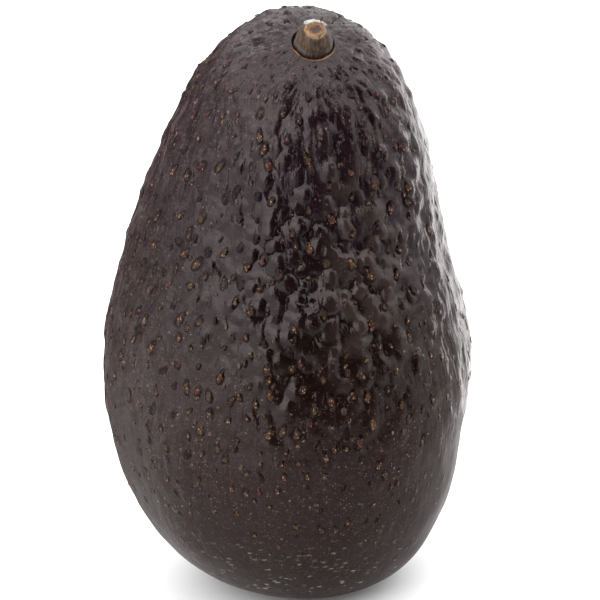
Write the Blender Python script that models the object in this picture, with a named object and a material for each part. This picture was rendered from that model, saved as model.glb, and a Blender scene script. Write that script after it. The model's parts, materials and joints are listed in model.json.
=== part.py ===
# A ripe avocado with dark pebbled skin, standing on the small flat spot at its blossom end.
# Metres, +Z up. The origin lies on the surface it stands on, under the middle of its outline.
# The neck leans towards -Y, the front, so the stem scar faces forwards and up.

import math
import random

import bmesh
import bpy
import numpy as np
from mathutils import Matrix, Vector
from mathutils.geometry import interpolate_bezier

MM = 0.001

# Fruit, measured along its own axis from the blossom end to the stem end
FRUIT_LENGTH = 104.5 * MM
BELLY_RADIUS = 31.5 * MM
BELLY_HEIGHT = 38.0 * MM
NECK_RADIUS = 22.2 * MM
NECK_HEIGHT = 80.5 * MM
NECK_TAPER = 0.3  # loss of radius for each unit of height at the neck
FLAT_RADIUS = 8.0 * MM
DEPTH_SHARE = 0.97  # front-to-back size over side-to-side size

# Lengths of the outline's handles, which set how full each stretch of it is
FLAT_HANDLE = 10.5 * MM
UNDER_BELLY_HANDLE = 25.0 * MM
OVER_BELLY_HANDLE = 9.0 * MM
UNDER_NECK_HANDLE = 23.0 * MM
OVER_NECK_HANDLE = 14.5 * MM
CROWN_HANDLE = 13.5 * MM

# Bend of the axis: the neck follows an arc forwards, the belly lies a little to the left of it
# and the foot a little to the right
LEAN = math.radians(33)
LEAN_START = 60.0 * MM
STEM_TILT = math.radians(7)  # of the stem end, to the right
BELLY_SHIFT = -2.1 * MM
NECK_SHIFT = 2.6 * MM
FOOT_SHIFT = 1.2 * MM
FOOT_REACH = 14.0 * MM

# Stem scar: a round socket with a raised collar, and the stub that stands in it
SOCKET_RADIUS = 3.45 * MM
SOCKET_DEPTH = 2.4 * MM
SCAR_SINK = 0.3 * MM  # how far the scar lies below the crown that the outline makes
COLLAR_RADIUS = 4.4 * MM
COLLAR_HEIGHT = 0.3 * MM
STUB_GAP = 0.3 * MM
STUB_HEIGHT = 6.2 * MM  # from the socket's floor to the broken end
STUB_TOP_RADIUS = 2.0 * MM
STUB_SIDES = 24
STUB_LOBES = 3

# Grid of the skin
BLOCK_COLUMNS = 26
BLOCK_ROWS = 41
FLAT_ROWS = 3

# Pebbles of the skin, laid on a golden-angle spiral, scattered, and peaking at the grid's corners
PEBBLE_COUNT = 900
PEBBLE_HALF_WIDTH = (2.1 * MM, 2.6 * MM)
PEBBLE_HALF_LENGTH = (2.5 * MM, 3.4 * MM)
PEBBLE_HEIGHT = (0.45 * MM, 1.0 * MM)
PEBBLE_SCATTER = 1.4 * MM
PEBBLE_SEED = 11
GOLDEN_ANGLE = math.pi * (3 - math.sqrt(5))

# Share of the pebbles' full height at shares of the fruit's height: the foot is nearly smooth
PEBBLE_STRENGTH = ((0.0, 0.0), (0.08, 0.12), (0.28, 0.4), (0.45, 0.9), (0.6, 1.0), (1.0, 1.0))
STEM_CALM = 9.0 * MM  # pebbles fade out over this distance from the collar

# Creases that run out from the stem
CREASE_DEPTH = 0.22 * MM
CREASE_REACH = 15.0 * MM
CREASE_WAVES = ((9, 0.4, 1.0), (14, 2.1, 0.7), (5, 1.2, 0.6))

# Broad swellings and hollows: angle from the right side in degrees (270 is the front), height,
# then how far each spreads round the fruit (degrees) and along it, and how far it stands out
UNEVENNESS = (
    (5, 43 * MM, 40, 13 * MM, 0.9 * MM),
    (0, 29 * MM, 42, 9 * MM, -1.0 * MM),
    (275, 72 * MM, 28, 14 * MM, 0.7 * MM),
    (350, 97 * MM, 60, 10 * MM, -0.9 * MM),
    (300, 36 * MM, 35, 16 * MM, 0.5 * MM),
    (90, 60 * MM, 45, 16 * MM, -0.5 * MM),
    (130, 30 * MM, 30, 14 * MM, 0.5 * MM),
)

SKIN_COLOUR = (0.030, 0.021, 0.022, 1)
STUB_COLOUR = (0.16, 0.085, 0.035, 1)


def material(name, colour, roughness):
    made = bpy.data.materials.new(name)
    made.use_nodes = True
    shader = made.node_tree.nodes["Principled BSDF"]
    shader.inputs["Base Color"].default_value = colour
    shader.inputs["Roughness"].default_value = roughness
    shader.inputs["Metallic"].default_value = 0
    return made


def ease(share):
    """0 up to a share of 0, 1 from a share of 1, and smooth in between."""
    share = min(max(share, 0), 1)
    return share * share * (3 - 2 * share)


def outline():
    """(radius, height) along the skin from the flat spot's edge to the middle of the stem end."""
    flat_edge = Vector((FLAT_RADIUS, 0))
    belly = Vector((BELLY_RADIUS, BELLY_HEIGHT))
    neck = Vector((NECK_RADIUS, NECK_HEIGHT))
    crown = Vector((0, FRUIT_LENGTH))
    out, up = Vector((1, 0)), Vector((0, 1))
    along_neck = Vector((-NECK_TAPER, 1))
    stretches = (
        (flat_edge, flat_edge + out * FLAT_HANDLE, belly - up * UNDER_BELLY_HANDLE, belly),
        (belly, belly + up * OVER_BELLY_HANDLE, neck - along_neck * UNDER_NECK_HANDLE, neck),
        (neck, neck + along_neck * OVER_NECK_HANDLE, crown + out * CROWN_HANDLE, crown),
    )
    points = [flat_edge]
    for stretch in stretches:
        points += interpolate_bezier(*stretch, 80)[1:]
    return points


def profile_rows():
    """(radius, height) of the skin's rings from the middle of the flat spot up, and of the scar's."""
    points = [p for p in outline() if p.x >= COLLAR_RADIUS or p.y < BELLY_HEIGHT]
    arc = [0.0]
    for before, after in zip(points, points[1:]):
        arc.append(arc[-1] + (after - before).length)
    rim = FRUIT_LENGTH - SCAR_SINK
    floor = rim - SOCKET_DEPTH
    scar = [
        (SOCKET_RADIUS + 0.4 * MM, rim + COLLAR_HEIGHT * 0.7),
        (SOCKET_RADIUS, rim + COLLAR_HEIGHT),
        (SOCKET_RADIUS - 0.1 * MM, floor),
        (SOCKET_RADIUS / 2, floor - 0.05 * MM),
        (0, floor - 0.1 * MM),
    ]
    rings = BLOCK_COLUMNS + BLOCK_ROWS + 1
    places = np.linspace(0, arc[-1], rings - FLAT_ROWS - len(scar))
    radii = np.interp(places, arc, [p.x for p in points])
    heights = np.interp(places, arc, [p.y for p in points])
    flat = [(FLAT_RADIUS * i / FLAT_ROWS, 0) for i in range(FLAT_ROWS)]
    return flat + list(zip(radii, heights)), scar


def axis_frame(height):
    """The place and tilt of the fruit's axis at a height along it."""
    share = max(height - LEAN_START, 0) / (FRUIT_LENGTH - LEAN_START)
    bend_radius = (FRUIT_LENGTH - LEAN_START) / LEAN
    lean = LEAN * share
    x = BELLY_SHIFT * math.sin(math.pi * height / FRUIT_LENGTH) + NECK_SHIFT * ease(share)
    x += FOOT_SHIFT * (1 - ease(height / FOOT_REACH))
    y = -bend_radius * (1 - math.cos(lean))
    z = min(height, LEAN_START) + bend_radius * math.sin(lean)
    tilt = Matrix.Rotation(STEM_TILT * ease(share), 4, "Y") @ Matrix.Rotation(lean, 4, "X")
    return Matrix.Translation((x, y, z)) @ tilt


def gridded_block():
    """A block with square ends of BLOCK_COLUMNS by BLOCK_COLUMNS faces and sides of BLOCK_ROWS rows."""
    block = bmesh.new()
    bmesh.ops.create_cube(block, size=2)

    def upright(edge):
        return abs(edge.verts[0].co.z - edge.verts[1].co.z) > 1

    level_edges = [e for e in block.edges if not upright(e)]
    bmesh.ops.subdivide_edges(block, edges=level_edges, cuts=BLOCK_COLUMNS - 1, use_grid_fill=True)
    upright_edges = [e for e in block.edges if upright(e)]
    bmesh.ops.subdivide_edges(block, edges=upright_edges, cuts=BLOCK_ROWS - 1, use_grid_fill=True)
    return block


def ring_of(co):
    """Which ring of the fruit a point of the block belongs to, counted from the blossom end."""
    reach = round(max(abs(co.x), abs(co.y)) * BLOCK_COLUMNS / 2)
    if reach < BLOCK_COLUMNS / 2:
        return reach if co.z < 0 else BLOCK_COLUMNS + BLOCK_ROWS - reach
    return BLOCK_COLUMNS // 2 + round((co.z + 1) / 2 * BLOCK_ROWS)


def angle_of(co):
    """The direction of a point of the block's square rings, spread evenly round a circle."""
    if abs(co.x) < 1e-6 and abs(co.y) < 1e-6:
        return 0.0
    if abs(co.x) >= abs(co.y):
        return math.pi / 4 * co.y / co.x + (0 if co.x > 0 else math.pi)
    return math.pi / 2 - math.pi / 4 * co.x / co.y + (0 if co.y > 0 else math.pi)


def lay_pebbles(rows, arcs):
    """(angle, arc, half width, half length, height) of every pebble."""
    chance = random.Random(PEBBLE_SEED)
    radii = np.array([r for r, _ in rows])
    skin = np.concatenate([[0], np.cumsum((radii[1:] + radii[:-1]) / 2 * np.diff(arcs))])
    pebbles = []
    for i in range(PEBBLE_COUNT):
        arc = float(np.interp((i + 0.5) / PEBBLE_COUNT * skin[-1], skin, arcs))
        radius = max(float(np.interp(arc, arcs, radii)), COLLAR_RADIUS)
        angle = i * GOLDEN_ANGLE + chance.uniform(-1, 1) * PEBBLE_SCATTER / radius
        arc += chance.uniform(-1, 1) * PEBBLE_SCATTER
        ring = int(np.abs(np.array(arcs) - arc).argmin())
        corners = 8 * max(min(ring, BLOCK_COLUMNS // 2, BLOCK_COLUMNS + BLOCK_ROWS - ring), 1)
        angle = round(angle / math.tau * corners) * math.tau / corners
        half_width = chance.uniform(*PEBBLE_HALF_WIDTH)
        half_length = chance.uniform(*PEBBLE_HALF_LENGTH)
        pebbles.append((angle, arcs[ring], half_width, half_length, chance.uniform(*PEBBLE_HEIGHT)))
    return pebbles


def pebble_height(pebbles, angle, arc, radius):
    """How far the pebbles raise the skin: the tallest that covers the place."""
    tallest = 0.0
    for mid_angle, mid_arc, half_width, half_length, height in pebbles:
        along = (arc - mid_arc) / half_length
        if abs(along) < 1:
            across = math.remainder(angle - mid_angle, math.tau) * radius / half_width
            tallest = max(tallest, height * max(1 - along**2 - across**2, 0) ** 1.5)
    return tallest


def crease_height(angle, from_collar):
    """The puckers that run out from the stem."""
    strength = ease(from_collar / (3 * MM)) * (1 - ease(from_collar / CREASE_REACH))
    wave = sum(share * math.cos(count * angle + start) for count, start, share in CREASE_WAVES)
    return CREASE_DEPTH * strength * wave


def unevenness(angle, height):
    """The broad swellings and hollows of the body."""
    total = 0.0
    for middle, level, spread, reach, amount in UNEVENNESS:
        round_it = math.remainder(angle - math.radians(middle), math.tau) / math.radians(spread)
        total += amount * math.exp(-(round_it**2) - ((height - level) / reach) ** 2)
    return total


def make_fruit(skin):
    skin_rows, scar_rows = profile_rows()
    rows = skin_rows + scar_rows
    last_ring = len(skin_rows) - 1
    arcs = [0.0]
    for (r0, h0), (r1, h1) in zip(skin_rows, skin_rows[1:]):
        arcs.append(arcs[-1] + math.hypot(r1 - r0, h1 - h0))
    pebbles = lay_pebbles(skin_rows, arcs)

    body = gridded_block()
    polar = {}
    for vert in body.verts:
        ring, angle = ring_of(vert.co), angle_of(vert.co)
        polar[vert] = ring, angle
        radius, height = rows[ring]
        depth_share = DEPTH_SHARE if ring <= last_ring else 1  # the scar is truly round
        level = Vector((math.cos(angle), depth_share * math.sin(angle), 0)) * radius
        vert.co = axis_frame(height) @ level
    bmesh.ops.recalc_face_normals(body, faces=body.faces)
    body.normal_update()

    for vert, (ring, angle) in polar.items():
        if not FLAT_ROWS < ring < last_ring:
            continue
        radius, height = rows[ring]
        from_collar = arcs[last_ring] - arcs[ring]
        strength = float(np.interp(height / FRUIT_LENGTH, *zip(*PEBBLE_STRENGTH)))
        strength *= ease((from_collar + STEM_CALM / 4) / STEM_CALM)
        raised = strength * pebble_height(pebbles, angle, arcs[ring], radius)
        raised += crease_height(angle, from_collar)
        raised += unevenness(angle, height) * ease(height / (12 * MM))
        vert.co += vert.normal * raised
    bmesh.ops.triangulate(body, faces=body.faces, quad_method="SHORT_EDGE")

    mesh = bpy.data.meshes.new("fruit")
    body.to_mesh(mesh)
    body.free()
    corners = np.array([v.co for v in mesh.vertices])
    middle = (corners.min(axis=0) + corners.max(axis=0)) / 2
    shift = Vector((-middle[0], -middle[1], 0))
    mesh.transform(Matrix.Translation(shift))
    mesh.shade_smooth()
    mesh.materials.append(skin)
    fruit = bpy.data.objects.new("fruit", mesh)
    bpy.context.scene.collection.objects.link(fruit)
    return fruit, shift


def make_stub(bark, fruit, shift):
    """The woody end of the stalk: a flared foot in the socket, and a lobed cone with a broken end."""
    foot = SOCKET_RADIUS - STUB_GAP - 0.1 * MM
    top = STUB_HEIGHT
    turned = (
        (0, 0),
        (foot * 0.9, 0),
        (foot, 0.5 * MM),
        (foot, SOCKET_DEPTH - 0.2 * MM),
        (foot * 0.97, SOCKET_DEPTH + 0.4 * MM),
        (foot * 0.92, SOCKET_DEPTH + 1.1 * MM),
        (foot * 0.84, SOCKET_DEPTH + 2.0 * MM),
        (STUB_TOP_RADIUS * 1.15, top - 0.8 * MM),
        (STUB_TOP_RADIUS, top),
        (STUB_TOP_RADIUS * 0.75, top - 0.1 * MM),
        (STUB_TOP_RADIUS * 0.5, top - 0.45 * MM),
        (STUB_TOP_RADIUS * 0.3, top - 0.3 * MM),
        (0, top - 0.25 * MM),
    )
    stub = bmesh.new()
    profile = [stub.verts.new((radius, 0, height)) for radius, height in turned]
    edges = [stub.edges.new(pair) for pair in zip(profile, profile[1:])]
    centre, up = (0, 0, 0), (0, 0, 1)
    bmesh.ops.spin(
        stub, geom=profile + edges, cent=centre, axis=up, angle=math.tau, steps=STUB_SIDES
    )
    bmesh.ops.remove_doubles(stub, verts=stub.verts, dist=0.01 * MM)
    bmesh.ops.recalc_face_normals(stub, faces=stub.faces)
    for vert in stub.verts:  # the foot stays round, and the cone above it is lobed
        lobed = 0.05 * ease((vert.co.z - SOCKET_DEPTH) / (2 * MM))
        angle = math.atan2(vert.co.y, vert.co.x)
        grow = 1 + lobed * math.cos(STUB_LOBES * angle + 0.6)
        vert.co.x *= grow
        vert.co.y *= grow
    mesh = bpy.data.meshes.new("stem_stub")
    stub.to_mesh(mesh)
    stub.free()
    mesh.shade_smooth()
    mesh.set_sharp_from_angle(angle=math.radians(50))
    mesh.materials.append(bark)
    piece = bpy.data.objects.new("stem_stub", mesh)
    bpy.context.scene.collection.objects.link(piece)
    piece.parent = fruit
    socket_floor = FRUIT_LENGTH - SCAR_SINK - SOCKET_DEPTH
    piece.matrix_local = Matrix.Translation(shift) @ axis_frame(socket_floor + STUB_GAP)
    return piece


def main():
    for old in list(bpy.data.objects):
        bpy.data.objects.remove(old)
    fruit, shift = make_fruit(material("avocado_skin", SKIN_COLOUR, 0.35))
    make_stub(material("stalk_bark", STUB_COLOUR, 0.75), fruit, shift)


main()
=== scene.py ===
import math
import random

import bpy
import numpy as np
from mathutils import Matrix, Vector, kdtree, noise
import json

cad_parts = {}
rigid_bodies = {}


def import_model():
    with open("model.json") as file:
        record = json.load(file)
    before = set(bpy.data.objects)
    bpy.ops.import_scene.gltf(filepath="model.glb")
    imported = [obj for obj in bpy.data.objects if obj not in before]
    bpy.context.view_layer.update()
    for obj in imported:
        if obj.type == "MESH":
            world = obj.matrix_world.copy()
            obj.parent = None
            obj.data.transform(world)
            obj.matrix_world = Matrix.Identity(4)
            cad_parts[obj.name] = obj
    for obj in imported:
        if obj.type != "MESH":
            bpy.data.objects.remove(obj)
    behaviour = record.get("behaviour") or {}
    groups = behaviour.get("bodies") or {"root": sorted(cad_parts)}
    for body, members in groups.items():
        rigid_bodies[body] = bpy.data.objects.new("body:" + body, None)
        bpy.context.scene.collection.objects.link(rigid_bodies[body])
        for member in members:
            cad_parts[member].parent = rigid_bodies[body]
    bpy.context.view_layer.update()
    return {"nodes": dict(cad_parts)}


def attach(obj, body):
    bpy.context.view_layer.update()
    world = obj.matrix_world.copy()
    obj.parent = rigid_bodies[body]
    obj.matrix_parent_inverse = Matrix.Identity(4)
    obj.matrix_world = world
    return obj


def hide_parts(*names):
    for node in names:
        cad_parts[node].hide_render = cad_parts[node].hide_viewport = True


# a ripe avocado standing on its blossom end: pebbled skin, stalk stub, light tent
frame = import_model()
mm = 0.001
noise.seed_set(4)  # without it the noise vectors change from run to run

# where the stalk stands and which way it points, as on the CAD stub
stalkPlace = {
    "foot": Vector((4.06, -11.03, 100.05)) * mm,
    "leanDegrees": 33,  # forwards
    "tiltDegrees": 7,  # to the right
    "socketDepth": 2.1 * mm,  # from the collar's crest down to the foot
}
stalkTurn = (
    Matrix.Rotation(math.radians(stalkPlace["tiltDegrees"]), 4, "Y")
    @ Matrix.Rotation(math.radians(stalkPlace["leanDegrees"]), 4, "X")
)
stalkAxis = (stalkTurn @ Vector((0, 0, 1))).normalized()
scarCentre = stalkPlace["foot"] + stalkAxis * stalkPlace["socketDepth"]
blossomEnd = Vector((3.0, 0, 0)) * mm


def selectOnly(piece):
    bpy.ops.object.select_all(action="DESELECT")
    piece.select_set(True)
    bpy.context.view_layer.objects.active = piece


def applyModifier(piece, kind, **values):
    selectOnly(piece)
    modifier = piece.modifiers.new(kind.title(), kind)
    for name, value in values.items():
        setattr(modifier, name, value)
    bpy.ops.object.modifier_apply(modifier=modifier.name)


def ease(share):
    share = min(max(share, 0.0), 1.0)
    return share * share * (3 - 2 * share)


def easeAll(shares):
    shares = np.clip(shares, 0, 1)
    return shares * shares * (3 - 2 * shares)


def copyOfNode(node, name):
    piece = bpy.data.objects.new(name, frame["nodes"][node].data.copy())
    bpy.context.scene.collection.objects.link(piece)
    piece.data.materials.clear()
    selectOnly(piece)
    bpy.ops.object.mode_set(mode="EDIT")
    bpy.ops.mesh.select_all(action="SELECT")
    bpy.ops.mesh.remove_doubles(threshold=0.01 * mm)
    bpy.ops.mesh.tris_convert_to_quads(face_threshold=math.pi, shape_threshold=math.pi)
    bpy.ops.mesh.customdata_custom_splitnormals_clear()
    bpy.ops.object.mode_set(mode="OBJECT")
    return piece


def paintWeights(piece, name, weights):
    group = piece.vertex_groups.new(name=name)
    for index, weight in enumerate(weights):
        if weight > 0.001:
            group.add([index], float(weight), "REPLACE")
    return group.name


def paintAttribute(piece, name, values):
    attribute = piece.data.attributes.new(name, "FLOAT", "POINT")
    attribute.data.foreach_set("value", np.asarray(values, np.float32))


# skin

skinLook = {
    "seed": 7,
    "spacing": 3.6 * mm,  # between neighbouring pebbles
    "spread": (0.62, 1.35),  # shares of the spacing
    "halfWidth": (0.75 * mm, 1.3 * mm),
    "halfLength": (1.0 * mm, 1.9 * mm),
    "slantDegrees": 25,
    "pebbleHeight": 0.46 * mm,
    "plateSize": 4.3 * mm,
    "plateHeight": 1.15 * mm,
    "wrinkleHeight": 0.18 * mm,
    "wrinkleSize": (1.7 * mm, 10 * mm),  # across and along
    "swellHeight": 0.45 * mm,
    "swellSize": 9 * mm,
    "creaseDepth": 0.38 * mm,
    "creaseReach": 16 * mm,  # from the scar
    "creaseSize": (2.0 * mm, 20 * mm),
    # a low fold down the front, left of the middle: where, how far it falls off to each side
    "foldAt": -1.7 * mm,
    "foldReach": (7.5 * mm, 5.5 * mm),
    "foldFrom": (44 * mm, 84 * mm),
    "foldHeight": 0.6 * mm,
    "roughPatch": Vector((6, -30, 66)) * mm,  # the roughest place, on the front
    "roughReach": 28 * mm,
    "widest": 31 * mm,
    # round the stalk: how far from its axis, and how wide each band is
    "corkRing": (3.62 * mm, 0.15 * mm),
    # the dark dip is painted shade round the stalk
    "darkDip": (4.2 * mm, 0.7 * mm),
    "frayedEdge": (4.9 * mm, 1.3 * mm),
    "socketRadius": 3.6 * mm,
}


def roughness(p):
    return math.exp(-((p - skinLook["roughPatch"]).length / skinLook["roughReach"]) ** 2)


def pebbleEnvelope(p):
    # nearly smooth foot, full relief from the belly up, calmer round the stalk
    level = ease((p.z - 8 * mm) / (44 * mm))
    calm = ease(((p - scarCentre).length - 4.0 * mm) / (10 * mm))
    top = 1 - 0.4 * ease((p.z - 90 * mm) / (10 * mm))
    return (0.12 + 0.88 * level) * (0.3 + 0.7 * calm) * top * (0.72 + 0.55 * roughness(p))


def flankShare(p):
    # 0 on the front and back, 1 out on the flanks
    return ease((abs(p.x - 2 * mm) - 13 * mm) / (11 * mm))


def openShare(p):
    # none on the flat spot and in the scar
    return ease((p.z - 1.0 * mm) / (5 * mm)) * ease(((p - scarCentre).length - 4.2 * mm) / (1.2 * mm))


def aroundLine(places):
    # position across the line from foot to scar (two values) and along it
    line = (scarCentre - blossomEnd).normalized()
    side = line.cross(Vector((0, 1, 0))).normalized()
    away = np.array(places) - np.array(blossomEnd)
    across = np.stack([away @ np.array(side), away @ np.array(line.cross(side))], axis=1)
    return across, away @ np.array(line)


def skinProfile(places):
    # the skin's mean radius and length of way from the foot, at each turn about its middle
    across, along = aroundLine(places)
    radius = np.hypot(*across.T)
    turn = math.pi - np.arctan2(radius, along - (scarCentre - blossomEnd).length / 2)
    bins = np.minimum((turn / math.pi * 120).astype(int), 119)
    filled = np.unique(bins)
    meanRadius = np.array([radius[bins == i].mean() for i in filled])
    meanAlong = np.array([along[bins == i].mean() for i in filled])
    steps = np.hypot(np.diff(meanRadius), np.diff(meanAlong))
    return (filled + 0.5) * math.pi / 120, np.concatenate([[0], np.cumsum(steps)])


def skinPlaces(places, profile):
    # each point's place on the skin: across in a circle that narrows more slowly than the fruit
    # does towards its ends, and up along the skin from the foot
    across, along = aroundLine(places)
    radius = np.maximum(np.hypot(*across.T), 0.01 * mm)
    turn = math.pi - np.arctan2(radius, along - (scarCentre - blossomEnd).length / 2)
    wide = skinLook["widest"] * (radius / skinLook["widest"]) ** 0.6
    return np.column_stack([across * (wide / radius)[:, None], np.interp(turn, *profile)])


def treeOf(places):
    tree = kdtree.KDTree(len(places))
    for i, p in enumerate(places):
        tree.insert(p, i)
    tree.balance()
    return tree


def fruitPlaces():
    # corners, edge middles and face middles of the CAD fruit, by their place, each with a normal
    found = {}
    mesh = frame["nodes"]["fruit"].data
    for face in mesh.polygons:
        corners = [mesh.vertices[k].co for k in face.vertices]
        middles = [(corners[k] + corners[k - 1]) / 2 for k in range(len(corners))]
        for p in (*corners, *middles, face.center):
            key = "%.2f %.2f %.2f" % tuple(p / mm)
            centre, normal = found.get(key, (p.copy(), Vector()))
            found[key] = centre, normal + face.normal
    return {key: (p, normal.normalized()) for key, (p, normal) in found.items()}


def scatter(seed, spacing, spread):
    # sites at chance distances; each draws by its own place, so every run gives the same ones
    found = fruitPlaces()
    draws = {key: random.Random(str(seed) + " " + key) for key in found}
    order = sorted(found, key=lambda key: (draws[key].random(), key))
    tree = treeOf([found[key][0] for key in order])
    blocked = bytearray(len(order))
    for i, key in enumerate(order):
        if blocked[i]:
            continue
        chance = draws[key]
        for _, j, _ in tree.find_range(found[key][0], spacing * chance.uniform(*spread)):
            blocked[j] = 1
        yield (*found[key], chance)


def towardsStalk(centre, normal, chance, slantDegrees):
    # along the skin to the scar, give or take a slant
    upward = scarCentre - centre
    upward = (upward - normal * upward.dot(normal)).normalized()
    slant = math.radians(chance.uniform(-1, 1) * slantDegrees)
    return (Matrix.Rotation(slant, 3, normal) @ upward).normalized()


def layPebbles(places):
    # each a low drop with its blunt end away from the stalk
    tree = treeOf(places)
    height = np.zeros(len(places))
    pebbles = 0
    for centre, normal, chance in scatter(skinLook["seed"], skinLook["spacing"], skinLook["spread"]):
        if openShare(centre) < 0.4:
            continue
        upward = towardsStalk(centre, normal, chance, skinLook["slantDegrees"])
        sideways = normal.cross(upward)
        halfWidth = chance.uniform(*skinLook["halfWidth"])
        halfLength = chance.uniform(*skinLook["halfLength"])
        tall = chance.uniform(0.4, 1.0)
        pebbles += 1
        for p, j, _ in tree.find_range(centre, halfLength * 1.8):
            along = (p - centre).dot(upward)
            across = (p - centre).dot(sideways)
            # steeper at its foot and on its right
            reach = halfLength * (1.7 if along > 0 else 0.75)
            width = halfWidth * (1.15 if across > 0 else 0.65)
            away = (along / reach) ** 2 + (across / width) ** 2
            if away < 1:
                height[j] = max(height[j], tall * (1 - away) ** 1.1)
    print("skin:", pebbles, "pebbles")
    return height


def plateAt(where):
    # steep-sided, each tilted its own way; left of the middle they face right
    bent = where / skinLook["plateSize"] + noise.noise_vector(where / (3.2 * mm)) * 0.34
    bent += noise.noise_vector(where / (1.2 * mm)) * 0.10
    bent.z *= 0.6
    near, cells = noise.voronoi(bent)
    turned = ease((8 * mm - where.x) / (10 * mm))
    levels = []
    for cell in cells[:2]:
        tilted = noise.cell_vector(cell * 7.3) * 2 - Vector((1, 1, 1))
        tilted.x = tilted.x * (1 - 0.5 * turned) - 0.55 * turned
        levels.append(0.5 + (bent - cell).dot(tilted) * 0.9)
    inside = 0.5 + 0.5 * ease((near[1] - near[0]) / 0.16)
    level = min(max(levels[0] * inside + levels[1] * (1 - inside), 0.0), 1.0) * 0.75
    return level + 0.14 * min(noise.ridged_multi_fractal(where / (3.4 * mm), 0.9, 2.1, 3, 1.0, 1.8), 2.0)


def wrinkleAt(where):
    across, along = skinLook["wrinkleSize"]
    streak = noise.noise(Vector((where.x / across, where.y / across, where.z / along)))
    return (1 - min(abs(streak) * 2.6, 1)) * (0.08 + 0.92 * ease((where.x - 8 * mm) / (14 * mm)))


def creaseAt(where, fromScar):
    # lines that run down from the stalk
    if fromScar >= skinLook["creaseReach"]:
        return 0.0
    across, along = skinLook["creaseSize"]
    radial = noise.noise(Vector((where.x / across, where.y / across, where.z / along + 20)))
    return max(0.0, 1 - abs(radial) * 6) * (1 - ease((fromScar - 7 * mm) / (9 * mm)))


def foldAt(p):
    if p.y >= 0:
        return 0.0
    beside = p.x - skinLook["foldAt"] - 2.2 * mm * noise.noise(Vector((3, 5, p.z / (7 * mm))))
    falls = 1 - abs(beside) / skinLook["foldReach"][0 if beside < 0 else 1]
    low, high = skinLook["foldFrom"]
    ends = ease((p.z - low) / (10 * mm)) * (1 - ease((p.z - high) / (10 * mm)))
    return max(falls, 0.0) * ends


def bandsRoundStalk(places, fromScar):
    # cork ring, painted shade in the dark dip and the socket, and frayed edge behind
    fromAxis, behind = [], []
    for p in places:
        out = p - scarCentre - stalkAxis * (p - scarCentre).dot(stalkAxis)
        fromAxis.append(out.length)
        behind.append(out.normalized().y if out.length > 0.1 * mm else 0)
    fromAxis, behind = np.array(fromAxis), np.array(behind)
    closeBy = fromScar < 9 * mm

    def band(name, level):
        middle, width = skinLook[name]
        return np.clip(level - np.abs(fromAxis - middle) / width, 0, 1) * closeBy

    ring = band("corkRing", 1.3) * np.clip((0.2 - behind) / 0.6, 0.05, 1)
    paintedDipShade = band("darkDip", 1.2) * (1 - ring)
    socket = np.clip((skinLook["socketRadius"] - fromAxis) / (0.2 * mm), 0, 1) * closeBy
    scuff = band("frayedEdge", 1.2) * np.clip((behind - 0.55) / 0.3, 0, 1)
    return ring, np.maximum(paintedDipShade, socket), scuff


def paintPlace(piece, values):
    attribute = piece.data.attributes.new("grown", "FLOAT_VECTOR", "POINT")
    attribute.data.foreach_set("vector", values.astype(np.float32).ravel())


def makeSkin():
    skin = copyOfNode("fruit", "skin")
    applyModifier(skin, "SUBSURF", levels=2, render_levels=2)
    print("skin:", len(skin.data.polygons), "faces")

    verts = skin.data.vertices
    places = [v.co.copy() for v in verts]
    normals = [v.normal.copy() for v in verts]
    profile = skinProfile(places)
    grown = skinPlaces(places, profile)
    rough = np.array([roughness(p) for p in places])
    fromScar = np.array([(p - scarCentre).length for p in places])
    openSkin = np.array([openShare(p) for p in places])
    rise = np.array([pebbleEnvelope(p) for p in places]) * openSkin
    flank = np.array([flankShare(p) for p in places])

    height = layPebbles(places) * rise * (1 - 0.6 * flank)
    plate = np.array([plateAt(Vector(where)) for where in grown]) * (0.06 + 0.94 * rough) * rise
    wrinkle = np.array([wrinkleAt(Vector(where)) for where in grown]) * (1 - 0.6 * rough) * rise
    waves = [noise.noise(p / skinLook["swellSize"] + Vector((11, 2, 5))) for p in places]
    swell = (0.5 + 0.5 * np.array(waves)) * openSkin
    creaseAndPaintedShade = np.array([creaseAt(Vector(where), far) for where, far in zip(grown, fromScar)]) * openSkin
    fold = np.array([foldAt(p) for p in places])
    heights = (
        ("pebbles", height, skinLook["pebbleHeight"]),
        ("plates", plate, skinLook["plateHeight"]),
        ("wrinkles", wrinkle, skinLook["wrinkleHeight"]),
        ("swells", swell, skinLook["swellHeight"]),
        ("creases", creaseAndPaintedShade, -skinLook["creaseDepth"]),
        ("fold", fold, skinLook["foldHeight"]),
    )
    groups = [paintWeights(skin, name, weights) for name, weights, _ in heights]
    for group, (_, _, strength) in zip(groups, heights):
        applyModifier(skin, "DISPLACE", strength=strength, mid_level=0, vertex_group=group)
    skin.vertex_groups.clear()

    # what the material needs to know about each place: painted shade for hollows, steep sides and the
    # roughest part
    paintedShade = np.clip(1 - height * 2 - plate * 1.3, 0, 1) * np.clip(rough * 1.5, 0.1, 1) * 0.7
    leaning = np.array([(v.normal - normal).length for v, normal in zip(verts, normals)])
    steepShade = np.clip((leaning - 0.10) / 0.30, 0, 1) * openSkin
    roughestShade = 0.55 * easeAll((rough - 0.55) / 0.35)
    paintedShade = np.maximum(np.maximum(paintedShade, steepShade), roughestShade)
    # painted highlight: crests left of the fold are painted paler, as if they catch the light
    paintedHighlight = np.clip((plate * 1.5 + height * 0.6 - 0.55) * 2.5, 0, 1) * np.clip(rough * 1.4, 0, 1)
    paintedHighlight *= np.clip((-1 * mm - grown[:, 0]) / (6 * mm), 0, 1)
    ring, paintedSocketShade, scuff = bandsRoundStalk(places, fromScar)
    for name, values in (
        ("paintedShade", paintedShade), ("paintedHighlight", paintedHighlight), ("creaseAndPaintedShade", creaseAndPaintedShade), ("ring", ring),
        ("paintedSocketShade", paintedSocketShade), ("scuff", scuff), ("rise", rise), ("rough", rough),
    ):
        paintAttribute(skin, name, values)
    paintPlace(skin, grown)
    selectOnly(skin)
    bpy.ops.object.shade_smooth()
    return skin, profile


# warts that stand on the skin, blunt below and drawn out towards the stalk

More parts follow.
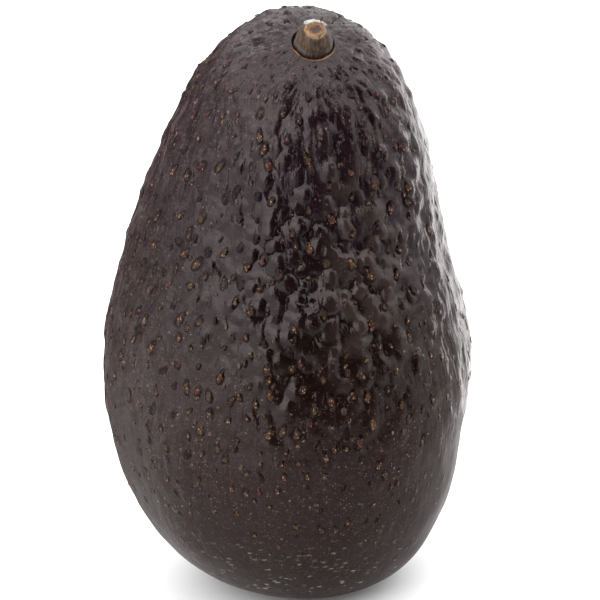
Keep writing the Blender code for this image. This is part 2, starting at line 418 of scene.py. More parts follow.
wartLook = {
    "seed": 5,
    "sides": 12,
    "spacing": 2.7 * mm,
    "spread": (0.5, 1.5),
    # how far out each ring of a wart lies, from the rim in, and how high it stands
    "rings": (1.2, 1.0, 0.86, 0.64, 0.34),
    "rise": ((0, 1.0), (0.34, 0.96), (0.64, 0.80), (0.86, 0.44), (1.0, 0.12), (1.2, 0)),
    "above": 1.35,  # how far it is drawn out towards the stalk, and pressed in on the other side
    "below": 0.8,
    "halfWidth": (0.34 * mm, 0.80 * mm),
    "stretch": (1.1, 1.9),
    "slantDegrees": 28,
    "height": (0.18 * mm, 0.52 * mm),
    "sink": 0.04 * mm,
    "tippedShare": 0.75,
}


def layWarts(skin):
    verts = skin.data.vertices
    tree = treeOf([v.co for v in verts])
    sites = []
    for place, _, chance in scatter(wartLook["seed"], wartLook["spacing"], wartLook["spread"]):
        near = [verts[j] for _, j, _ in tree.find_n(place, 6)]
        centre = sum((v.co for v in near), Vector()) / 6
        normal = sum((v.normal for v in near), Vector()).normalized()
        strength = pebbleEnvelope(centre) * openShare(centre)
        if strength < chance.uniform(0.1, 0.35):
            continue
        if centre.x > 0 and flankShare(centre) > 0.2 + chance.random():
            continue
        upward = towardsStalk(centre, normal, chance, wartLook["slantDegrees"])
        wide = chance.uniform(*wartLook["halfWidth"]) * (0.7 + 0.3 * min(strength, 1))
        turned = Matrix((upward.cross(normal), upward, normal)).transposed().to_4x4()
        scaled = Matrix.Diagonal((wide / mm, wide / mm * chance.uniform(*wartLook["stretch"]), 1, 1))
        tall = min(0.3 + 0.45 * strength, 1) * (0.75 + 0.6 * roughness(centre))
        sites.append({
            "place": Matrix.Translation(centre) @ turned @ scaled,
            "height": chance.uniform(*wartLook["height"]) * tall * (1 - 0.6 * flankShare(centre)),
            "tip": chance.random() < wartLook["tippedShare"],
            "tint": chance.random(),
        })
    return sites


def wartPattern():
    # a flat disc of rings, drawn out on one side
    bpy.ops.object.select_all(action="DESELECT")
    rings = wartLook["rings"]
    bpy.ops.mesh.primitive_circle_add(
        vertices=wartLook["sides"], radius=rings[0] * mm, fill_type="NGON", location=(0, 0, 0)
    )
    pattern = bpy.context.active_object
    bpy.ops.object.mode_set(mode="EDIT")
    bpy.ops.mesh.select_all(action="SELECT")
    for outer, inner in zip(rings, rings[1:]):
        bpy.ops.mesh.inset(thickness=(outer - inner) * mm * math.cos(math.pi / wartLook["sides"]))
    bpy.ops.mesh.poke()
    bpy.ops.object.mode_set(mode="OBJECT")
    for v in pattern.data.vertices:
        v.co.y *= wartLook["above"] if v.co.y > 0 else wartLook["below"]
    return pattern


def joinWarts(sites):
    pattern = wartPattern()
    copies = []
    for site in sites:
        copy = bpy.data.objects.new("wart", pattern.data.copy())
        bpy.context.scene.collection.objects.link(copy)
        copy.matrix_world = site["place"]
        copies.append(copy)
    bpy.data.meshes.remove(pattern.data)  # and the pattern with it
    spent = [copy.data for copy in copies[1:]]
    bpy.ops.object.select_all(action="DESELECT")
    for copy in copies:
        copy.select_set(True)
    warts = copies[0]
    bpy.context.view_layer.objects.active = warts
    bpy.ops.object.join()
    bpy.data.batch_remove(spent)
    warts.name = "skinWarts"
    bpy.ops.object.transform_apply(location=True, rotation=True, scale=True)
    return warts


def makeWarts(skin, profile):
    sites = layWarts(skin)
    warts = joinWarts(sites)

    # which wart each corner belongs to, and how far out in it
    verts = warts.data.vertices
    tree = treeOf([site["place"].translation for site in sites])
    back = [site["place"].inverted() for site in sites]
    weight = np.zeros(len(verts))
    tip = np.zeros(len(verts))
    tint = np.zeros(len(verts))
    paintedShade = np.zeros(len(verts))
    out, up = zip(*wartLook["rise"])
    for k, v in enumerate(verts):
        best, far = None, 1e9
        for _, i, _ in tree.find_n(v.co, 4):
            local = back[i] @ v.co / mm
            reach = math.hypot(local.x, local.y / wartLook["above" if local.y > 0 else "below"])
            if abs(local.z) < 0.01 and reach < far:
                best, far = sites[i], reach
        lumps = 1 + 0.3 * noise.noise(v.co / (0.4 * mm))
        weight[k] = np.interp(far, out, up) * best["height"] / wartLook["height"][1] * lumps
        nearStalk = 1 - ease(((v.co - scarCentre).length - 6 * mm) / (14 * mm))
        tip[k] = best["tip"] * max(0.0, 1.15 - far) * (1 - 0.75 * nearStalk)
        tint[k] = best["tint"]
        # painted shade: a ragged dark foot round each wart, fainter low on the fruit
        gap = far + 0.55 * noise.noise(v.co / (0.55 * mm))
        paintedShade[k] = ease((gap - 0.55) / 0.35) * (0.35 + 0.65 * ease((v.co.z - 22 * mm) / (20 * mm)))
        v.co += noise.noise_vector(v.co / (0.8 * mm)) * 0.14 * mm
    sink = wartLook["sink"]
    applyModifier(warts, "SHRINKWRAP", target=skin, wrap_method="NEAREST_SURFACEPOINT", offset=-sink)
    raised = paintWeights(warts, "raised", np.clip(weight, 0, 1.2))
    strength = wartLook["height"][1] + sink
    applyModifier(warts, "DISPLACE", strength=strength, mid_level=0, vertex_group=raised)
    warts.vertex_groups.clear()

    places = [v.co.copy() for v in warts.data.vertices]
    rough = [roughness(p) for p in places]
    rise = [pebbleEnvelope(p) * openShare(p) for p in places]
    for name, values in (
        ("tip", tip), ("tint", tint), ("paintedShade", paintedShade), ("rise", rise), ("rough", rough),
    ):
        paintAttribute(warts, name, values)
    paintPlace(warts, skinPlaces(places, profile))
    selectOnly(warts)
    bpy.ops.object.shade_smooth()
    print("warts:", len(sites), "and", len(warts.data.polygons), "faces")
    return warts


# steps that the materials are made of

def mathNode(tree, operation, first, second=0.0):
    node = tree.nodes.new("ShaderNodeMath")
    node.operation = operation
    for socket, value in ((node.inputs[0], first), (node.inputs[1], second)):
        if isinstance(value, bpy.types.NodeSocket):
            tree.links.new(value, socket)
        else:
            socket.default_value = value
    return node.outputs[0]


def times(tree, first, *others):
    for other in others:
        first = mathNode(tree, "MULTIPLY", first, other)
    return first


def plus(tree, first, *others):
    for other in others:
        first = mathNode(tree, "ADD", first, other)
    return first


def larger(tree, first, second):
    return mathNode(tree, "MAXIMUM", first, second)


def sway(tree, value, amount):
    # from half an amount below nothing to half above
    return times(tree, mathNode(tree, "SUBTRACT", value, 0.5), amount)


def mapRange(tree, value, low, high, toLow=0.0, toHigh=1.0):
    node = tree.nodes.new("ShaderNodeMapRange")
    node.interpolation_type = "SMOOTHSTEP"
    tree.links.new(value, node.inputs["Value"])
    node.inputs["From Min"].default_value = low
    node.inputs["From Max"].default_value = high
    node.inputs["To Min"].default_value = toLow
    node.inputs["To Max"].default_value = toHigh
    return node.outputs["Result"]


def mixColour(tree, share, first, second):
    mix = tree.nodes.new("ShaderNodeMix")
    mix.data_type = "RGBA"
    for socket, value in ((mix.inputs[0], share), (mix.inputs[6], first), (mix.inputs[7], second)):
        if isinstance(value, bpy.types.NodeSocket):
            tree.links.new(value, socket)
        else:
            socket.default_value = (*value, 1) if isinstance(value, tuple) else value
    return mix.outputs[2]


def rampColour(tree, place, stops):
    ramp = tree.nodes.new("ShaderNodeValToRGB")
    while len(ramp.color_ramp.elements) > 1:
        ramp.color_ramp.elements.remove(ramp.color_ramp.elements[-1])
    for i, (position, colour) in enumerate(stops):
        stop = ramp.color_ramp.elements[0] if i == 0 else ramp.color_ramp.elements.new(position)
        stop.position = position
        stop.color = (*colour, 1)
    tree.links.new(place, ramp.inputs[0])
    return ramp.outputs[0]


def noiseNode(tree, vector, scale, detail=3, rough=0.55):
    node = tree.nodes.new("ShaderNodeTexNoise")
    tree.links.new(vector, node.inputs["Vector"])
    node.inputs["Scale"].default_value = scale
    node.inputs["Detail"].default_value = detail
    node.inputs["Roughness"].default_value = rough
    return node.outputs["Fac"]


def cellsNode(tree, vector, scale):
    # how far it is to the nearest of many strewn points, and three chance values of that point
    node = tree.nodes.new("ShaderNodeTexVoronoi")
    tree.links.new(vector, node.inputs["Vector"])
    node.inputs["Scale"].default_value = scale
    chances = tree.nodes.new("ShaderNodeSeparateColor")
    tree.links.new(node.outputs["Color"], chances.inputs[0])
    return node.outputs["Distance"], chances.outputs


def attributeNode(tree, name):
    node = tree.nodes.new("ShaderNodeAttribute")
    node.attribute_name = name
    return node.outputs["Fac"]


def stretched(tree, vector, scale):
    node = tree.nodes.new("ShaderNodeMapping")
    node.inputs["Scale"].default_value = scale
    tree.links.new(vector, node.inputs["Vector"])
    return node.outputs[0]


def splitPlace(tree, vector):
    split = tree.nodes.new("ShaderNodeSeparateXYZ")
    tree.links.new(vector, split.inputs[0])
    return split.outputs


def addBump(tree, height, strength, distance):
    bump = tree.nodes.new("ShaderNodeBump")
    bump.inputs["Strength"].default_value = strength
    bump.inputs["Distance"].default_value = distance
    tree.links.new(height, bump.inputs["Height"])
    tree.links.new(bump.outputs[0], tree.nodes["Principled BSDF"].inputs["Normal"])


# the surface that the skin and its warts share

surfaceLook = {
    # colours, each laid over the ones before it; the first runs from brown foot to purple crown
    "base": (
        (0.0, (0.0080, 0.0034, 0.0023)), (0.5, (0.0074, 0.0027, 0.0022)), (1.0, (0.0098, 0.0036, 0.0070)),
    ),
    # painted shade for hollows, steep sides, the roughest patch and the feet of the warts
    "paintedShade": (0.0030, 0.0015, 0.0010),
    # painted highlight for the crests left of the fold
    "paintedHighlight": (0.022, 0.0145, 0.0130),
    "mottle": (0.040, 0.0180, 0.0150),
    # painted shade for the creases and the nicks
    "creaseAndPaintedShade": (0.004, 0.002, 0.0025),
    "tips": (
        (0.0, (0.13, 0.058, 0.018)), (0.35, (0.16, 0.095, 0.046)), (0.6, (0.07, 0.036, 0.022)),
        (0.75, (0.14, 0.082, 0.060)), (0.88, (0.12, 0.030, 0.026)), (1.0, (0.14, 0.058, 0.054)),
    ),
    "dusk": (0.012, 0.006, 0.003),
    "calmGrain": (0.38, 0.27, 0.20),
    "roughGrain": (0.55, 0.28, 0.09),
    "dots": (
        (0.0, (0.13, 0.070, 0.042)), (0.6, (0.22, 0.155, 0.115)), (0.8, (0.12, 0.045, 0.042)),
        (1.0, (0.27, 0.21, 0.18)),
    ),
    "dust": ((0.0, (0.080, 0.035, 0.030)), (0.5, (0.11, 0.075, 0.050)), (1.0, (0.17, 0.135, 0.12))),
    "fleck": (0.27, 0.245, 0.21),
    # painted shade for the dip and the socket round the stalk
    "paintedDipShade": (0.010, 0.0050, 0.0028),
    "ring": (0.20, 0.105, 0.040),
    "frayed": (0.50, 0.55, 0.55),
    # cells or waves in a metre
    "cloudScale": 70,
    "mottleScale": 1400,
    "nickScale": 800,
    "wartScale": 440,
    "grainScale": 2700,
    "raggedScale": 1700,
    "dotScale": 800,
    "dustScale": 2100,
    "fleckScale": 760,
    "frayedScale": 2400,
    "foldScale": 560,
    "streakScale": 900,
    "fineScale": 2300,
    # gloss of skin and warts alike, and how much of it each has: the warts are corkier
    "roughness": (0.10, 0.20),
    "refraction": 1.41,
    "glossTint": (1.0, 0.86, 0.87, 1),
    "sheen": 0.04,
    "sheenRoughness": 0.35,
    "sheenTint": (1.0, 0.45, 0.45, 1),
    "skinGloss": 0.5,
    "wartGloss": 0.2,
    "bumpStrength": 0.8,
    "bumpHeight": 0.5 * mm,
}


def surfaceGroup():
    tree = bpy.data.node_groups.new("pebbledSurface", "ShaderNodeTree")
    tree.interface.new_socket("Place", in_out="INPUT", socket_type="NodeSocketVector")
    tree.interface.new_socket("Colour", in_out="OUTPUT", socket_type="NodeSocketColor")
    tree.interface.new_socket("Roughness", in_out="OUTPUT", socket_type="NodeSocketFloat")
    tree.interface.new_socket("Relief", in_out="OUTPUT", socket_type="NodeSocketFloat")
    nodes, links = tree.nodes, tree.links
    look = surfaceLook
    where = nodes.new("NodeGroupInput").outputs["Place"]
    x, _, z = splitPlace(tree, where)
    rise = attributeNode(tree, "rise")
    rough = attributeNode(tree, "rough")
    paintedShade = attributeNode(tree, "paintedShade")
    tip = attributeNode(tree, "tip")

    # the skin's own coordinates, shaken a little so that no wart is round
    shake = nodes.new("ShaderNodeTexNoise")
    links.new(where, shake.inputs["Vector"])
    shake.inputs["Scale"].default_value = 1100
    shake.inputs["Detail"].default_value = 2
    grown = nodes.new("ShaderNodeAttribute")
    grown.attribute_name = "grown"
    shaking = nodes.new("ShaderNodeVectorMath")
    shaking.operation = "MULTIPLY_ADD"
    links.new(shake.outputs["Color"], shaking.inputs[0])
    shaking.inputs[1].default_value = (0.7 * mm, 0.7 * mm, 0.7 * mm)
    links.new(grown.outputs["Vector"], shaking.inputs[2])
    shaken = shaking.outputs[0]
    onSkin = stretched(tree, shaken, (1, 1, 0.6))

    # clouded ground, darker with painted shade in hollows, mottled where the skin is calm
    cloud = noiseNode(tree, where, look["cloudScale"], 4, 0.6)
    level = plus(tree, mapRange(tree, z, 20 * mm, 85 * mm), sway(tree, cloud, 0.9))
    colour = rampColour(tree, level, look["base"])
    colour = mixColour(tree, times(tree, paintedShade, 0.85), colour, look["paintedShade"])
    # painted highlight: crests left of the fold painted paler
    colour = mixColour(tree, attributeNode(tree, "paintedHighlight"), colour, look["paintedHighlight"])
    mottle = times(
        tree, mathNode(tree, "SUBTRACT", 1.0, paintedShade),
        mapRange(tree, noiseNode(tree, where, look["mottleScale"], 4, 0.7), 0.48, 0.62),
        mapRange(tree, rough, 0.05, 0.65, 0.85, 0.0),
        mapRange(tree, z, 15 * mm, 50 * mm, 0.3, 1.0),
    )
    colour = mixColour(tree, mottle, colour, look["mottle"])
    # painted shade in the creases that run down from the stalk
    colour = mixColour(tree, times(tree, attributeNode(tree, "creaseAndPaintedShade"), 0.7), colour, look["creaseAndPaintedShade"])

    # short nicks pointing at the stalk, dented and darkened with painted shade, most of them high up and on
    # calm skin
    nicks = noiseNode(tree, stretched(tree, shaken, (1, 1, 0.33)), look["nickScale"], 2, 0.5)
    nickAndShade = times(
        tree, mapRange(tree, nicks, 0.34, 0.42, 1.0, 0.0),
        mapRange(tree, z, 30 * mm, 80 * mm, 0.25, 0.75),
        mapRange(tree, rough, 0.3, 0.8, 1.0, 0.2),
        mapRange(tree, x, 12 * mm, 24 * mm, 1.0, 0.2),
    )
    colour = mixColour(tree, nickAndShade, colour, look["creaseAndPaintedShade"])

    # small warts between the modelled ones
    wartFar, wartOwn = cellsNode(tree, onSkin, look["wartScale"])
    wart = mapRange(tree, wartFar, 0.08, 0.26, 1.0, 0.0)

    # corky tips on both, each dusky with pale grains, tan to rust red
    grainFar, grainOwn = cellsNode(tree, stretched(tree, where, (1, 1, 0.75)), look["grainScale"])
    grain = times(tree, mapRange(tree, grainFar, 0.18, 0.5, 1.0, 0.0), mapRange(tree, grainOwn[0], 0.1, 0.8))
    ragged = sway(tree, noiseNode(tree, where, look["raggedScale"], 3, 0.65), 1.7)
    bigTip = mapRange(tree, plus(tree, tip, ragged), 0.42, 0.80)
    reach = plus(tree, mapRange(tree, wartFar, 0.0, 0.25, 1.0, 0.0), ragged)
    smallTip = times(tree, mapRange(tree, reach, 0.30, 0.72), mapRange(tree, wartOwn[1], 0.55, 0.65))
    tint = nodes.new("ShaderNodeMix")
    links.new(mathNode(tree, "GREATER_THAN", smallTip, bigTip), tint.inputs[0])
    links.new(attributeNode(tree, "tint"), tint.inputs[2])
    links.new(wartOwn[2], tint.inputs[3])
    tipColour = rampColour(tree, tint.outputs[0], look["tips"])
    tipShare = times(tree, larger(tree, bigTip, smallTip), 0.6)
    colour = mixColour(tree, tipShare, colour, mixColour(tree, 0.55, tipColour, look["dusk"]))
    strewn = plus(tree, larger(tree, tip, mapRange(tree, wartFar, 0.0, 0.35, 0.55, 0.0)), ragged)
    grainMask = times(tree, mapRange(tree, strewn, 0.22, 0.8), grain)
    paleGrain = mixColour(tree, rough, look["calmGrain"], look["roughGrain"])
    colour = mixColour(tree, grainMask, colour, mixColour(tree, 0.5, tipColour, paleGrain))

    # pinprick lenticels, and a finer dust of them, both fewer on the rough patch
    sparse = mapRange(tree, rough, 0.2, 0.8, 1.0, 0.35)
    dotFar, dotOwn = cellsNode(tree, shaken, look["dotScale"])
    dot = times(
        tree, mapRange(tree, dotFar, 0.08, 0.24, 1.0, 0.0),
        mapRange(tree, dotOwn[0], 0.3, 1.0, 0.0, 0.6),
        mapRange(tree, noiseNode(tree, where, 130, 2, 0.5), 0.38, 0.62, 0.35, 1.25),
        sparse,
    )
    colour = mixColour(tree, dot, colour, rampColour(tree, dotOwn[1], look["dots"]))
    dustFar, dustOwn = cellsNode(tree, where, look["dustScale"])
    dust = times(
        tree, mapRange(tree, dustFar, 0.12, 0.36, 1.0, 0.0),
        mapRange(tree, dustOwn[0], 0.35, 1.0),
        mapRange(tree, noiseNode(tree, where, 240, 3, 0.6), 0.35, 0.65, 0.25, 0.75),
        sparse,
    )
    colour = mixColour(tree, dust, colour, rampColour(tree, dustOwn[1], look["dust"]))

    # pale scuffs on the foot
    fleckFar, fleckOwn = cellsNode(tree, stretched(tree, shaken, (0.6, 0.6, 1.3)), look["fleckScale"])
    low = plus(tree, z, sway(tree, cloud, 20 * mm))
    fleck = times(
        tree, mapRange(tree, fleckFar, 0.12, 0.33, 1.0, 0.0),
        mapRange(tree, fleckOwn[0], 0.10, 0.9, 0.0, 0.9),
        mapRange(tree, low, 2 * mm, 22 * mm, 1.0, 0.0),
    )
    colour = mixColour(tree, fleck, colour, look["fleck"])

    # round the stalk: painted shade in the dip and the socket, thin cork ring, pale frayed edge behind
    colour = mixColour(tree, times(tree, attributeNode(tree, "paintedSocketShade"), 0.8), colour, look["paintedDipShade"])
    ring = mapRange(tree, attributeNode(tree, "ring"), 0.2, 0.9)
    colour = mixColour(tree, times(tree, ring, 0.8), colour, look["ring"])
    torn = noiseNode(tree, where, look["frayedScale"], 3, 0.7)
    frayed = mathNode(tree, "SUBTRACT", times(tree, attributeNode(tree, "scuff"), 1.25), torn)
    colour = mixColour(tree, mapRange(tree, frayed, 0.36, 0.58, 0.0, 0.8), colour, look["frayed"])

    # gloss, patchy, and none on the cork ring
    patchy = mapRange(tree, noiseNode(tree, where, 160, 3, 0.6), 0.35, 0.7, *look["roughness"])
    roughness = plus(tree, patchy, times(tree, ring, 0.25))

    # fine relief: folds, beads of the small warts, streaks on the right, grain, nicks
    foldShare = larger(
        tree, mapRange(tree, rough, 0.0, 1.0, 0.25, 0.42),
        mapRange(tree, x, -26 * mm, -12 * mm, 0.5, 0.25),
    )
    folds = times(tree, noiseNode(tree, onSkin, look["foldScale"], 3, 0.45), foldShare)
    bead = times(tree, wart, mapRange(tree, rough, 0.2, 0.8, 0.6, 0.25))
    drawnOut = stretched(tree, grown.outputs["Vector"], (1, 1, 0.08))
    streaks = noiseNode(tree, drawnOut, look["streakScale"], 3, 0.55)
    streaks = times(tree, streaks, mapRange(tree, x, 14 * mm, 28 * mm, 0.0, 0.55))
    raised = times(tree, plus(tree, bead, folds, streaks), plus(tree, times(tree, rise, 0.85), 0.15))
    fineShare = larger(
        tree, mapRange(tree, x, -24 * mm, -2 * mm, 0.14, 0.03),
        mapRange(tree, z, 70 * mm, 92 * mm, 0.03, 0.12),
    )
    fine = times(tree, noiseNode(tree, where, look["fineScale"], 2, 0.6), fineShare)
    relief = plus(tree, raised, fine, times(tree, grainMask, 0.2), times(tree, nickAndShade, -0.45))

    out = nodes.new("NodeGroupOutput")
    links.new(colour, out.inputs["Colour"])
    links.new(roughness, out.inputs["Roughness"])
    links.new(relief, out.inputs["Relief"])
    return tree


def skinMaterial(name, gloss, group):
    made = bpy.data.materials.new(name)
    made.use_nodes = True
    tree = made.node_tree
    shader = tree.nodes["Principled BSDF"]
    surface = tree.nodes.new("ShaderNodeGroup")
    surface.node_tree = group
    tree.links.new(tree.nodes.new("ShaderNodeTexCoord").outputs["Object"], surface.inputs["Place"])
    tree.links.new(surface.outputs["Colour"], shader.inputs["Base Color"])
    tree.links.new(surface.outputs["Roughness"], shader.inputs["Roughness"])
    shader.inputs["IOR"].default_value = surfaceLook["refraction"]
    shader.inputs["Specular IOR Level"].default_value = gloss
    shader.inputs["Specular Tint"].default_value = surfaceLook["glossTint"]
    shader.inputs["Sheen Weight"].default_value = surfaceLook["sheen"]
    shader.inputs["Sheen Roughness"].default_value = surfaceLook["sheenRoughness"]
    shader.inputs["Sheen Tint"].default_value = surfaceLook["sheenTint"]
    addBump(tree, surface.outputs["Relief"], surfaceLook["bumpStrength"], surfaceLook["bumpHeight"])
    return made


skin, profile = makeSkin()
warts = makeWarts(skin, profile)
surface = surfaceGroup()
for piece, name, gloss in (
    (skin, "pebbledSkin", surfaceLook["skinGloss"]),
    (warts, "corkyWarts", surfaceLook["wartGloss"]),
):
    piece.data.materials.append(skinMaterial(name, gloss, surface))
    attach(piece, "root")
    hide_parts("fruit")
print("surface:", len(surface.nodes), "nodes, on the skin and the warts")

# stalk stub

stubLook = {
    "sides": 48,
    "foot": 2.8,  # radius, here and below in millimetres
    # height above the foot, radius
    "steps": (
        (0.35, 3.22), (1.8, 3.42), (2.5, 3.46), (2.85, 3.40), (3.1, 3.20), (3.25, 2.94), (3.5, 2.84),
        (4.0, 2.72), (4.5, 2.56), (5.05, 2.34), (5.55, 2.08), (5.9, 1.88), (6.1, 1.70),
    ),
    # inwards over the broken end
    "endRings": (
        (6.02, 1.54), (6.12, 1.36), (5.85, 1.18), (5.92, 1.00), (5.60, 0.80), (5.66, 0.58), (5.50, 0.35),
    ),
    "furrowDepth": 0.28 * mm,
    # bark from dark furrow to pale fibre, its dark foot, and the broken end from pith to rim
    "bark": (
        (0.0, (0.008, 0.0035, 0.002)), (0.40, (0.022, 0.0100, 0.0040)), (0.54, (0.060, 0.030, 0.012)),
        (0.68, (0.105, 0.058, 0.025)), (1.0, (0.21, 0.140, 0.078)),
    ),
    "footColour": (0.018, 0.0065, 0.0040),
    "end": (
        (0.0, (0.060, 0.045, 0.038)), (0.22, (0.025, 0.013, 0.008)), (0.40, (0.07, 0.034, 0.014)),
        (0.52, (0.24, 0.12, 0.040)), (0.64, (0.05, 0.020, 0.008)), (0.78, (0.28, 0.15, 0.055)),
        (1.0, (0.18, 0.12, 0.070)),
    ),
    "fibreScale": 1900,
    "blotchScale": 800,
    "endScale": 1000,
}


def makeStub():
    bpy.ops.object.select_all(action="DESELECT")
    bpy.ops.mesh.primitive_circle_add(
        vertices=stubLook["sides"], radius=stubLook["foot"] * mm, fill_type="NGON", location=(0, 0, 0)
    )
    stub = bpy.context.active_object
    stub.name = "stalkStub"
    bpy.ops.object.mode_set(mode="EDIT")
    bpy.ops.mesh.select_all(action="SELECT")
    height, radius = 0.0, stubLook["foot"]
    for nextHeight, nextRadius in stubLook["steps"] + stubLook["endRings"]:
        step = (0, 0, (nextHeight - height) * mm)
        bpy.ops.mesh.extrude_region_move(TRANSFORM_OT_translate={"value": step})
        share = nextRadius / radius
        bpy.ops.transform.resize(value=(share, share, 1), center_override=(0, 0, nextHeight * mm))
        height, radius = nextHeight, nextRadius
    bpy.ops.mesh.poke()
    bpy.ops.mesh.select_all(action="SELECT")
    bpy.ops.mesh.normals_make_consistent(inside=False)
    bpy.ops.object.mode_set(mode="OBJECT")
    applyModifier(stub, "SUBSURF", levels=1, render_levels=1)
    # shrunken wood: furrows down the sides, a worn lip
    verts = stub.data.vertices
    furrow = []
    for v in verts:
        turn = math.atan2(v.co.y, v.co.x)
        above = ease((v.co.z - 1.6 * mm) / (1.2 * mm))
        sides = ease((math.hypot(v.co.x, v.co.y) - 1.2 * mm) / (0.8 * mm))
        streak = noise.noise(Vector((math.cos(turn) * 3.2, math.sin(turn) * 3.2, v.co.z / (5 * mm))))
        lip = noise.noise(Vector((math.cos(turn) * 1.2, math.sin(turn) * 1.2, 9)))
        worn = 0.5 * max(lip, 0) * ease((v.co.z - 5 * mm) / mm)
        furrow.append((0.5 + 0.9 * streak) * above * sides + worn)
    furrows = paintWeights(stub, "furrows", np.clip(furrow, 0, 1))
    applyModifier(stub, "DISPLACE", strength=-stubLook["furrowDepth"], mid_level=0, vertex_group=furrows)
    stub.vertex_groups.clear()
    paintAttribute(stub, "up", [v.co.z / (6.2 * mm) for v in verts])
    paintAttribute(stub, "out", [math.hypot(v.co.x, v.co.y) / (2.0 * mm) for v in verts])
    stub.data.transform(Matrix.Translation(stalkPlace["foot"]) @ stalkTurn)
    selectOnly(stub)
    bpy.ops.object.shade_smooth()
    print("stub:", len(stub.data.polygons), "faces")
    return stub


def stubMaterial():
    made = bpy.data.materials.new("stalkWood")
    made.use_nodes = True
    tree = made.node_tree
    shader = tree.nodes["Principled BSDF"]
    where = tree.nodes.new("ShaderNodeTexCoord").outputs["Object"]
    turned = tree.nodes.new("ShaderNodeMapping")
    turned.vector_type = "TEXTURE"
    turned.inputs["Location"].default_value = stalkPlace["foot"]
    turned.inputs["Rotation"].default_value = stalkTurn.to_euler()
    turned.inputs["Scale"].default_value = (1, 1, 3.5)  # fibres run along the stalk
    tree.links.new(where, turned.inputs["Vector"])
    fibre = noiseNode(tree, turned.outputs[0], stubLook["fibreScale"], 4, 0.65)
    blotch = noiseNode(tree, where, stubLook["blotchScale"], 3, 0.6)
    up = attributeNode(tree, "up")
    out = attributeNode(tree, "out")
    bark = rampColour(tree, fibre, stubLook["bark"])
    footShare = mapRange(tree, plus(tree, up, sway(tree, blotch, 0.12)), 0.48, 0.60, 0.92, 0.0)
    dark = mixColour(tree, footShare, bark, stubLook["footColour"])
    # the broken end: orange wood round a dark pith
    onEnd = times(tree, mapRange(tree, up, 0.86, 0.93), mapRange(tree, out, 0.92, 1.02, 1.0, 0.0))
    rings = plus(tree, out, sway(tree, noiseNode(tree, where, stubLook["endScale"], 4, 0.7), 1.3))
    colour = mixColour(tree, onEnd, dark, rampColour(tree, rings, stubLook["end"]))
    tree.links.new(colour, shader.inputs["Base Color"])
    tree.links.new(mapRange(tree, footShare, 0.0, 0.9, 0.6, 0.32), shader.inputs["Roughness"])
    addBump(tree, fibre, 0.7, 0.3 * mm)
    return made


stub = makeStub()
stub.data.materials.append(stubMaterial())
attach(stub, "root")
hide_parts("stem_stub")

# light by azimuth from the front, counted to the right: 1 within half an angle of the centre

def azimuthOf(tree, split):
    return mathNode(tree, "ARCTAN2", split["X"], times(tree, split["Y"], -1.0))


def sector(tree, azimuth, centre, halfAngle, soft):
    wrapped = mathNode(tree, "WRAP", mathNode(tree, "SUBTRACT", azimuth, math.radians(centre)), math.pi)
    tree.nodes[-1].inputs[2].default_value = -math.pi
    sideways = mathNode(tree, "ABSOLUTE", wrapped)
    inner, outer = math.radians(halfAngle - soft), math.radians(halfAngle + soft)
    return mapRange(tree, sideways, inner, outer, 1.0, 0.0)


# floor, white to the eye; in the fruit's gloss it is darker, by place round the fruit and distance

floorLook = {
    "radius": 3.0,
    "seen": (0.99, 0.99, 0.99),
    "lighting": (0.85, 0.85, 0.85),
    "mirrored": 0.33,
    # centre azimuth, half angle, softness, distances between which it grows, brightness
    "mirroredParts": (
        (-50, 56, 22, 0.0, 0.01, 0.14),
        (-50, 56, 22, 0.06, 0.16, 0.26),
        (155, 28, 4, 0.078, 0.098, 0.70),
        (-150, 42, 22, 0.0, 0.01, -0.22),
    ),
    # the same, and how much darker it grows
    "mirroredFront": (26, 33, 8, 0.05, 0.19, 0.9),
}


def floorMaterial():
    made = bpy.data.materials.new("whiteSweep")
    made.use_nodes = True
    tree = made.node_tree
    shader = tree.nodes["Principled BSDF"]
    ray = tree.nodes.new("ShaderNodeLightPath").outputs
    place = tree.nodes.new("ShaderNodeTexCoord").outputs["Object"]
    azimuth = azimuthOf(tree, splitPlace(tree, place))
    distance = tree.nodes.new("ShaderNodeVectorMath")
    distance.operation = "LENGTH"
    tree.links.new(place, distance.inputs[0])

    def part(centre, halfAngle, soft, near, far, amount):
        grows = mapRange(tree, distance.outputs["Value"], near, far, 0.0, amount)
        return times(tree, sector(tree, azimuth, centre, halfAngle, soft), grows)

    mirrored = floorLook["mirrored"]
    for values in floorLook["mirroredParts"]:
        mirrored = plus(tree, mirrored, part(*values))
    mirrored = times(tree, mirrored, mathNode(tree, "SUBTRACT", 1.0, part(*floorLook["mirroredFront"])))
    colour = mixColour(tree, ray["Is Camera Ray"], floorLook["lighting"], floorLook["seen"])
    colour = mixColour(tree, ray["Is Glossy Ray"], colour, mirrored)
    tree.links.new(colour, shader.inputs["Base Color"])
    shader.inputs["Roughness"].default_value = 0.9
    shader.inputs["Specular IOR Level"].default_value = 0.0
    return made


bpy.ops.object.select_all(action="DESELECT")
bpy.ops.mesh.primitive_circle_add(
    vertices=96, radius=floorLook["radius"], fill_type="NGON", location=(0, 0, 0)
)
floor = bpy.context.active_object
floor.name = "floor"
floor.data.materials.append(floorMaterial())
print("floor:", floorLook["radius"], "m in radius")

# light tent: soft panels drawn on the world, white where the camera sees it

tentLook = {
    # elevation and brightness of the walls low down and of the roof
    "low": (-10, 0.6),
    "high": (60, 2.7),
    # centre azimuth, elevation, half angles, softness, brightness
    "panels": (
        (-42, 8, 35, 28, 9, 1.35),
        (-24, 14, 13, 28, 5, 0.75),
        (86, 6, 28, 26, 9, 0.4),
        (157, 0, 29, 21, 5, 1.6),
    ),
    # unlit where the camera stands and, less so, behind on the left: the same, and how far it is dark
    "openings": (
        (27, 3, 32, 20, 5, 1.0),
        (28, 29, 30, 16, 6, 0.94),
        (-162, -8, 46, 24, 14, 0.88),
    ),
    "seen": 1.2,
}


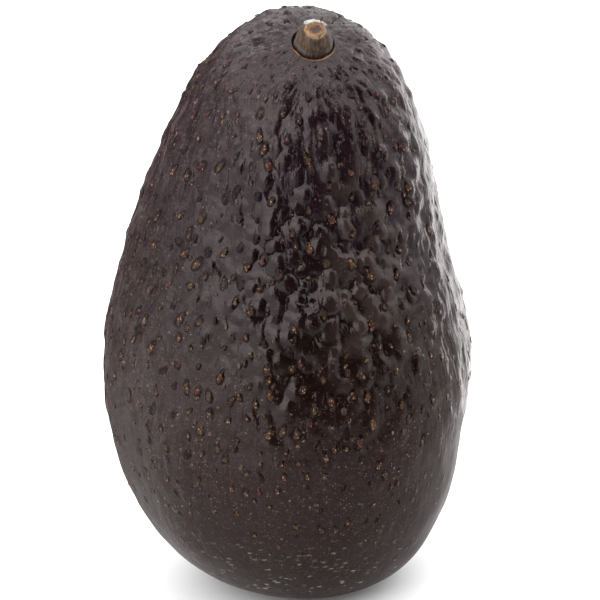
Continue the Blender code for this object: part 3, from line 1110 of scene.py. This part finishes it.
def makeWorld():
    world = bpy.data.worlds.new("lightTent")
    bpy.context.scene.world = world
    world.use_nodes = True
    tree = world.node_tree
    nodes, links = tree.nodes, tree.links
    background = nodes["Background"]
    split = splitPlace(tree, nodes.new("ShaderNodeTexCoord").outputs["Generated"])
    azimuth = azimuthOf(tree, split)
    elevation = mathNode(tree, "ARCSINE", split["Z"])

    def panel(centre, level, halfWide, halfTall, soft):
        upright = mathNode(tree, "ABSOLUTE", mathNode(tree, "SUBTRACT", elevation, math.radians(level)))
        inner, outer = math.radians(halfTall - soft), math.radians(halfTall + soft)
        inHeight = mapRange(tree, upright, inner, outer, 1.0, 0.0)
        return times(tree, sector(tree, azimuth, centre, halfWide, soft), inHeight)

    (lowAt, lowLight), (highAt, highLight) = tentLook["low"], tentLook["high"]
    light = mapRange(tree, elevation, math.radians(lowAt), math.radians(highAt), lowLight, highLight)
    for *place, bright in tentLook["panels"]:
        light = plus(tree, light, times(tree, panel(*place), bright))
    for *place, share in tentLook["openings"]:
        shut = times(tree, panel(*place), share)
        light = times(tree, light, mathNode(tree, "SUBTRACT", 1.0, shut))
    strength = nodes.new("ShaderNodeMix")
    links.new(nodes.new("ShaderNodeLightPath").outputs["Is Camera Ray"], strength.inputs[0])
    links.new(light, strength.inputs[2])
    strength.inputs[3].default_value = tentLook["seen"]
    links.new(strength.outputs[0], background.inputs["Strength"])
    background.inputs["Color"].default_value = (1, 1, 1, 1)
    print("tent:", len(tentLook["panels"]), "panels,", len(tentLook["openings"]), "openings")


makeWorld()
bpy.context.scene.view_settings.view_transform = "Standard"

# camera, 20 degrees above the level, 0.6 m away

cameraLook = {
    "aim": Vector((2.09, 0, 52.24)) * mm,
    "elevation": 20,
    "distance": 0.6,
    "lens": 206.9,
    "sensor": 36,
}
up = math.radians(cameraLook["elevation"])
bpy.ops.object.camera_add(
    location=cameraLook["aim"] + Vector((0, -math.cos(up), math.sin(up))) * cameraLook["distance"],
    rotation=(math.pi / 2 - up, 0, 0),
)
camera = bpy.context.active_object
camera.data.lens = cameraLook["lens"]
camera.data.sensor_width = cameraLook["sensor"]
bpy.context.scene.camera = camera
print("camera:", cameraLook["elevation"], "degrees up")
